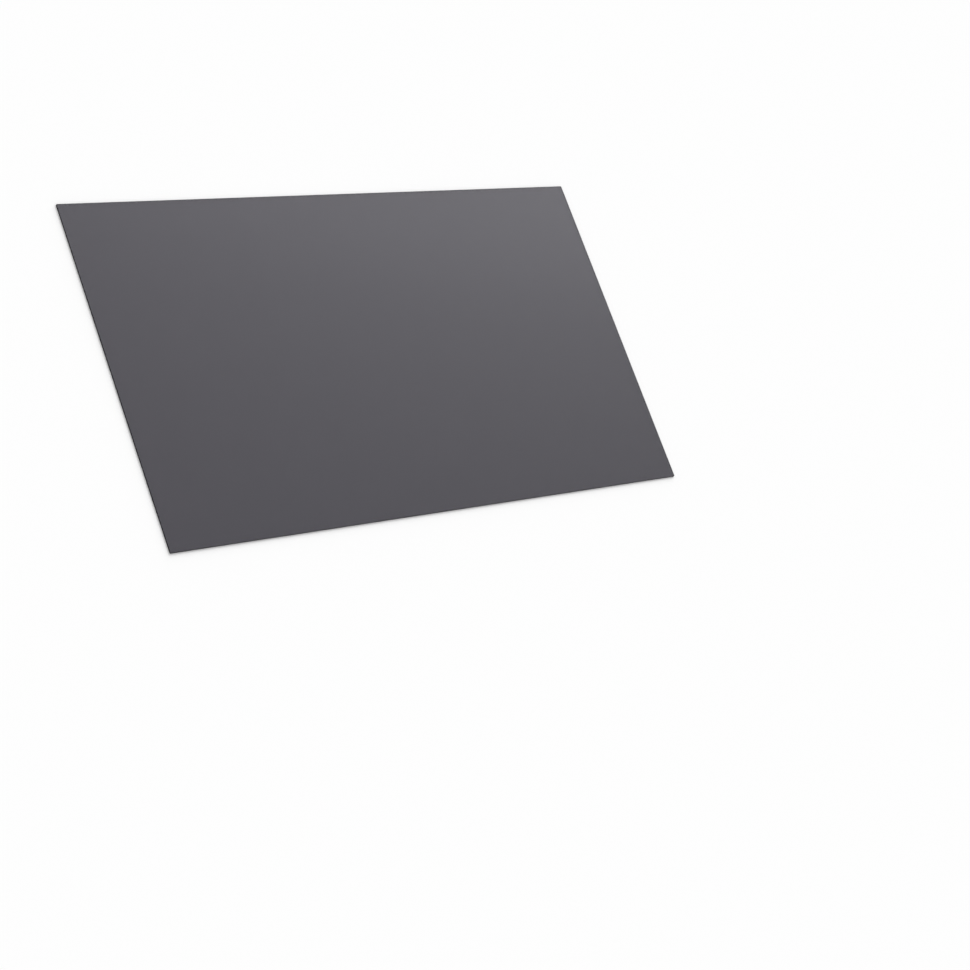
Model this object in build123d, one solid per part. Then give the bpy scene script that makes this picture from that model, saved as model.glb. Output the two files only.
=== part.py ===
from build123d import *

import os

# Laptop privacy filter: one flat rectangular sheet of see-through louvre film, in millimetres.
# It lies on its screen-side face. +X runs along its width, +Y towards its top edge and +Z out of
# the face that the user looks at. The origin is the middle of the screen-side face.

# Driving dimensions
SHEET_WIDTH = 345.0  # along X: the picture width of a 15.6 inch wide screen
SHEET_HEIGHT = 194.0  # along Y: the picture height of that screen
SHEET_THICKNESS = 0.8  # along Z: stiff enough to hold itself flat between its guides
CORNER_RADIUS = 0.5  # the outline's four corners, cut square and only just broken
EDGE_RADIUS = 0.1  # where the cut edge rolls into each of the two faces


def filter_sheet():
    """The whole filter: a plate cut to the screen's outline, smooth to slide along its cut edge."""
    with BuildPart() as sheet:
        with BuildSketch():
            RectangleRounded(SHEET_WIDTH, SHEET_HEIGHT, CORNER_RADIUS)
        extrude(amount=SHEET_THICKNESS)
        screen_side_face = sheet.faces().sort_by(Axis.Z)[0]
        viewing_face = sheet.faces().sort_by(Axis.Z)[-1]
        fillet(screen_side_face.edges() + viewing_face.edges(), radius=EDGE_RADIUS)
    return sheet.part


os.makedirs("parts", exist_ok=True)
export_step(filter_sheet(), "parts/filter_sheet.step")
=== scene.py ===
import math

import bmesh
import bpy
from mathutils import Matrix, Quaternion, Vector


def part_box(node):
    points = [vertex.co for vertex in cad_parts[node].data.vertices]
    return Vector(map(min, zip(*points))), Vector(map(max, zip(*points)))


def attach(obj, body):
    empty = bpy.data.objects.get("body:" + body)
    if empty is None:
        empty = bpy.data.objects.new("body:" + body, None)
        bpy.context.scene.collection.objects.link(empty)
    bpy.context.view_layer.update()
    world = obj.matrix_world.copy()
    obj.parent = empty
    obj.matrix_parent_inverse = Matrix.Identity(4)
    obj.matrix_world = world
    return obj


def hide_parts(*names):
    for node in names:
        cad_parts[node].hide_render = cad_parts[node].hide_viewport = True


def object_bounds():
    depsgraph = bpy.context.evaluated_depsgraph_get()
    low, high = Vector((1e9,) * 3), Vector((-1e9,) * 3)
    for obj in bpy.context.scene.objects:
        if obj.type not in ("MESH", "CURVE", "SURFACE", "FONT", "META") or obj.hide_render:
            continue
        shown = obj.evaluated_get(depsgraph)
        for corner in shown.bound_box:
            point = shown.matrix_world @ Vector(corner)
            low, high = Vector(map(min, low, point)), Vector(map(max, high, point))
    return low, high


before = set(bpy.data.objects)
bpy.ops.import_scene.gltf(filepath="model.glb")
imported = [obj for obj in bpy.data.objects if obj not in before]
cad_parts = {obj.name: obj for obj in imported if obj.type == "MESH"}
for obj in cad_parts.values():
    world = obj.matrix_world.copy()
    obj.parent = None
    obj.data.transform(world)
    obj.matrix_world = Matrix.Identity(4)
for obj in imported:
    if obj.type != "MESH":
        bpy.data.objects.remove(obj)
cad_low, cad_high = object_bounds()

# The sheet's cut, in metres
CORNER_RADIUS = 0.0005
CORNER_STEPS = 8
EDGE_RADIUS = 0.0001
EDGE_STEPS = 4
FLAT_ENOUGH = 0.999  # a face this square to an axis is one of the plate's own flat sides

# The film: each face takes its share of the light, and the two together let about an eighth through
FACE_ALPHA = 0.64
LOUVRE_BLACK = (0.0035, 0.0030, 0.0050, 1.0)
STRIP_SMOKE = (0.0435, 0.0401, 0.0537, 1.0)  # the smoky strips between the louvres
LOUVRE_PITCH = 0.00011  # from one louvre to the next, across the width
LOUVRE_HALF = 0.25  # from a louvre's middle to the end of its soft side, as a share of the pitch
STREAK_WIDTH = 0.0016  # slow drift of the louvres' density, across the width
STREAK_LENGTH = 0.25  # and along the height, which the louvres follow
STREAK_DETAIL = 3.0
STREAK_SHARE = 0.25  # how much the drift counts beside the louvres themselves
SHEEN_TINT = (0.94, 0.92, 1.0, 1.0)  # the coating's faint violet cast

# The two faces' finishes: roughness at the least and the most, grain size and grain height in metres
ANTIGLARE = dict(least=0.30, most=0.38, grain=0.00006, height=0.0000006)
GLOSS = dict(least=0.10, most=0.14, grain=0.004, height=0.0000008)
GRAIN_DETAIL = 2.0

# The cut edge
EDGE_BLACK = (0.001, 0.001, 0.0015, 1.0)
EDGE_GREY = (0.016, 0.016, 0.018, 1.0)
CUT_MARK_WIDTH = 0.0003
CUT_MARK_SCALE = (1.0, 1.0, 0.1)  # the marks run up the edge, ten times as long as they are wide
CUT_MARK_RANGE = (0.38, 0.66)  # the grain's values from black to grey, so that the marks stand apart
EDGE_ROUGHNESS = (0.55, 0.75)
EDGE_SHINE = 0.08

# The order of the sheet's materials
VIEWING_FACE, SCREEN_SIDE_FACE, CUT_EDGE = range(3)

# The stage
FLOOR_SIZE = 8.0
FLOOR_GAP = 0.0001  # keeps the floor's surface out of the sheet's lower face
FLOOR_PALE = (0.95, 0.95, 0.95, 1.0)
WORLD_WHITE = (1.0, 1.0, 1.0, 1.0)
WORLD_LIGHT = 0.715  # the strength of its light
WORLD_SEEN = 1.0  # its strength as the background, which is plain white
KEY_FROM = Vector((0.62, 0.70, 0.38))  # the way to the lamp, over the sheet's upper right corner
KEY_SPREAD = math.radians(56.0)
KEY_POWER = 2.7

# The camera: it looks down at the sheet from its lower left, turned about its own axis
CAMERA_LENS = 82.03
CAMERA_PLACE = Vector((-0.7320, -0.3834, 0.8909))
CAMERA_AIM = Vector((0.0332, -0.0853, 0.0))
CAMERA_ROLL = math.radians(53.80)


# Shader helpers
def new_material(name):
    """An empty node material, with its output."""
    material = bpy.data.materials.new(name)
    material.use_nodes = True
    tree = material.node_tree
    tree.nodes.clear()
    output = tree.nodes.new("ShaderNodeOutputMaterial")
    return material, tree, output


def feed(tree, socket, value):
    """Links an input to another node's socket, or sets its value."""
    if isinstance(value, bpy.types.NodeSocket):
        tree.links.new(value, socket)
    else:
        socket.default_value = value


def add(tree, kind, settings=None, **inputs):
    """A new node with its settings, and values or links for its inputs, named with _ for a space."""
    node = tree.nodes.new(kind)
    for name, value in (settings or {}).items():
        setattr(node, name, value)
    for name, value in inputs.items():
        feed(tree, node.inputs[name.replace("_", " ")], value)
    return node


def maths(tree, operation, first, second):
    """The result of one Math node on two values or sockets."""
    node = tree.nodes.new("ShaderNodeMath")
    node.operation = operation
    feed(tree, node.inputs[0], first)
    feed(tree, node.inputs[1], second)
    return node.outputs["Value"]


def ramp(tree, factor, low, high, reach=(0.0, 1.0)):
    """A colour that goes from low to high as factor goes over its reach."""
    node = add(tree, "ShaderNodeValToRGB", Fac=factor)
    for stop, place, colour in zip(node.color_ramp.elements, reach, (low, high)):
        stop.position = place
        stop.color = colour
    return node.outputs["Color"]


def spread(tree, value, low, high):
    """A value from 0 to 1 spread over low to high."""
    return add(tree, "ShaderNodeMapRange", Value=value, To_Min=low, To_Max=high).outputs["Result"]


# Shared surface effects
def new_group(name, inputs, output):
    """An empty shader group with value or vector inputs and one value as its output."""
    group = bpy.data.node_groups.new(name, "ShaderNodeTree")
    for label, kind in inputs:
        group.interface.new_socket(label, in_out="INPUT", socket_type=kind)
    group.interface.new_socket(output, in_out="OUTPUT", socket_type="NodeSocketFloat")
    entry = group.nodes.new("NodeGroupInput")
    leave = group.nodes.new("NodeGroupOutput")
    return group, entry.outputs, leave.inputs[output]


def louvre_group():
    """Upright louvre lines across the width, and the slow streaks that a sliced film shows along them."""
    inputs = [
        ("Coordinates", "NodeSocketVector"),
        ("Pitch", "NodeSocketFloat"),
        ("Louvre Half", "NodeSocketFloat"),
        ("Streak Width", "NodeSocketFloat"),
        ("Streak Length", "NodeSocketFloat"),
        ("Streak Share", "NodeSocketFloat"),
    ]
    half_pitch = 0.5  # as a share of the pitch, from a louvre's middle to the middle of the strip beside it
    group, given, tone = new_group("louvre_lines", inputs, "Tone")
    place = add(group, "ShaderNodeSeparateXYZ", Vector=given["Coordinates"])
    pitches = maths(group, "DIVIDE", place.outputs["X"], given["Pitch"])
    from_middle = maths(group, "PINGPONG", pitches, half_pitch)
    strips = add(
        group, "ShaderNodeMapRange", {"interpolation_type": "SMOOTHSTEP"},
        Value=from_middle, From_Max=given["Louvre Half"],
    )
    across = maths(group, "DIVIDE", place.outputs["X"], given["Streak Width"])
    along = maths(group, "DIVIDE", place.outputs["Y"], given["Streak Length"])
    flow = add(group, "ShaderNodeCombineXYZ", X=across, Y=along)
    streaks = add(
        group, "ShaderNodeTexNoise",
        Vector=flow.outputs["Vector"], Scale=1.0, Detail=STREAK_DETAIL,
    )
    both = add(
        group, "ShaderNodeMix",
        Factor=given["Streak Share"], A=strips.outputs["Result"], B=streaks.outputs["Fac"],
    )
    group.links.new(both.outputs["Result"], tone)
    return group


def grain_group():
    """Fine even grain of a given size."""
    inputs = [("Coordinates", "NodeSocketVector"), ("Size", "NodeSocketFloat")]
    group, given, grain = new_group("fine_grain", inputs, "Grain")
    finer = maths(group, "DIVIDE", 1.0, given["Size"])
    noise = add(
        group, "ShaderNodeTexNoise",
        Vector=given["Coordinates"], Scale=finer, Detail=GRAIN_DETAIL,
    )
    group.links.new(noise.outputs["Fac"], grain)
    return group


# Materials
def film_face(name, louvres, grain, finish):
    """One face of the see-through film, with its louvre lines and its own finish."""
    material, tree, output = new_material(name)
    here = tree.nodes.new("ShaderNodeTexCoord").outputs["Object"]
    lines = add(
        tree, "ShaderNodeGroup", {"node_tree": louvres},
        Coordinates=here, Pitch=LOUVRE_PITCH, Louvre_Half=LOUVRE_HALF,
        Streak_Width=STREAK_WIDTH, Streak_Length=STREAK_LENGTH, Streak_Share=STREAK_SHARE,
    )
    fine = add(tree, "ShaderNodeGroup", {"node_tree": grain}, Coordinates=here, Size=finish["grain"])
    bump = add(
        tree, "ShaderNodeBump",
        Height=fine.outputs["Grain"], Strength=1.0, Distance=finish["height"],
    )
    film = add(
        tree, "ShaderNodeBsdfPrincipled",
        Base_Color=ramp(tree, lines.outputs["Tone"], LOUVRE_BLACK, STRIP_SMOKE),
        Roughness=spread(tree, fine.outputs["Grain"], finish["least"], finish["most"]),
        Normal=bump.outputs["Normal"],
        Specular_Tint=SHEEN_TINT,
        Alpha=FACE_ALPHA,
    )
    tree.links.new(film.outputs["BSDF"], output.inputs["Surface"])
    return material


def cut_edge(grain):
    """The die-cut edge, which lets no light through: near black, with fine cut marks."""
    material, tree, output = new_material("cut_edge")
    here = tree.nodes.new("ShaderNodeTexCoord").outputs["Object"]
    upright = add(tree, "ShaderNodeMapping", Vector=here, Scale=CUT_MARK_SCALE)
    marks = add(
        tree, "ShaderNodeGroup", {"node_tree": grain},
        Coordinates=upright.outputs["Vector"], Size=CUT_MARK_WIDTH,
    )
    edge = add(
        tree, "ShaderNodeBsdfPrincipled",
        Base_Color=ramp(tree, marks.outputs["Grain"], EDGE_BLACK, EDGE_GREY, CUT_MARK_RANGE),
        Roughness=spread(tree, marks.outputs["Grain"], *EDGE_ROUGHNESS),
        Specular_IOR_Level=EDGE_SHINE,
    )
    tree.links.new(edge.outputs["BSDF"], output.inputs["Surface"])
    return material


# The sheet
def bevel_edges(piece, chosen, radius, steps):
    """Rounds the piece's edges that chosen picks out."""
    bpy.ops.object.mode_set(mode="EDIT")
    bpy.ops.mesh.select_mode(type="EDGE")
    bpy.ops.mesh.select_all(action="DESELECT")
    mesh = bmesh.from_edit_mesh(piece.data)
    for edge in mesh.edges:
        edge.select_set(chosen(edge))
    bmesh.update_edit_mesh(piece.data)
    bpy.ops.mesh.bevel(offset=radius, segments=steps, affect="EDGES")
    bpy.ops.object.mode_set(mode="OBJECT")


def stands_upright(edge):
    """True for an edge that runs along Z, at a corner of the outline."""
    start, end = (vertex.co for vertex in edge.verts)
    return abs(end.z - start.z) > abs(end.x - start.x) + abs(end.y - start.y)


def lies_flat(edge):
    """True for an edge of the outline on either face."""
    return not stands_upright(edge)


def material_for(normal):
    """Which of the sheet's materials a face with this normal takes."""
    if normal.z > FLAT_ENOUGH:
        return VIEWING_FACE
    if normal.z < -FLAT_ENOUGH:
        return SCREEN_SIDE_FACE
    return CUT_EDGE


def model_sheet(*materials):
    """The film as one die-cut plate, with a finish for each face and one for its cut edge."""
    low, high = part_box("filter_sheet")
    bpy.ops.object.select_all(action="DESELECT")
    bpy.ops.mesh.primitive_cube_add(size=1.0, location=(low + high) / 2, scale=high - low)
    sheet = bpy.context.object
    sheet.name = "privacy_film"
    bpy.ops.object.transform_apply(location=True, rotation=True, scale=True)
    bevel_edges(sheet, stands_upright, CORNER_RADIUS, CORNER_STEPS)
    bevel_edges(sheet, lies_flat, EDGE_RADIUS, EDGE_STEPS)
    for material in materials:
        sheet.data.materials.append(material)
    for face in sheet.data.polygons:
        face.use_smooth = max(abs(part) for part in face.normal) < FLAT_ENOUGH
        face.material_index = material_for(face.normal)
    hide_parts("filter_sheet")
    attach(sheet, "root")


# The stage
def seen_directly(tree):
    """1 for what the camera sees, also in a mirror or through glass, and 0 for the light itself."""
    path = tree.nodes.new("ShaderNodeLightPath")
    mirrored = maths(tree, "MAXIMUM", path.outputs["Is Camera Ray"], path.outputs["Is Glossy Ray"])
    return maths(tree, "MAXIMUM", mirrored, path.outputs["Is Transmission Ray"])


def lay_floor():
    """A plain pale floor, which keeps the sheet's shadow."""
    material, tree, output = new_material("pale_floor")
    matt = add(tree, "ShaderNodeBsdfDiffuse", Color=FLOOR_PALE)
    tree.links.new(matt.outputs["BSDF"], output.inputs["Surface"])
    bpy.ops.mesh.primitive_plane_add(size=FLOOR_SIZE, location=(0.0, 0.0, cad_low.z - FLOOR_GAP))
    floor = bpy.context.object
    floor.name = "floor"
    floor.data.materials.append(material)


def light_studio():
    """Even light from all round, and one wide soft lamp low behind the sheet, off to its right."""
    world = bpy.data.worlds.new("studio")
    bpy.context.scene.world = world
    world.use_nodes = True
    tree = world.node_tree
    tree.nodes.clear()
    strength = spread(tree, seen_directly(tree), WORLD_LIGHT, WORLD_SEEN)
    sky = add(tree, "ShaderNodeBackground", Color=WORLD_WHITE, Strength=strength)
    output = tree.nodes.new("ShaderNodeOutputWorld")
    tree.links.new(sky.outputs["Background"], output.inputs["Surface"])
    bpy.ops.object.light_add(type="SUN")
    key = bpy.context.object
    key.name = "key_lamp"
    key.rotation_euler = (-KEY_FROM).to_track_quat("-Z", "Y").to_euler()
    key.data.angle = KEY_SPREAD
    key.data.energy = KEY_POWER


def aim_camera():
    """The camera that sees the sheet as the photograph does."""
    bpy.ops.object.camera_add(location=CAMERA_PLACE)
    camera = bpy.context.object
    level = (CAMERA_AIM - CAMERA_PLACE).to_track_quat("-Z", "Y")
    camera.rotation_euler = (level @ Quaternion((0.0, 0.0, 1.0), CAMERA_ROLL)).to_euler()
    camera.data.lens = CAMERA_LENS
    bpy.context.scene.camera = camera


louvres = louvre_group()
grain = grain_group()
model_sheet(
    film_face("antiglare_face", louvres, grain, ANTIGLARE),
    film_face("gloss_face", louvres, grain, GLOSS),
    cut_edge(grain),
)
lay_floor()
light_studio()
aim_camera()
bpy.context.scene.view_settings.view_transform = "Standard"
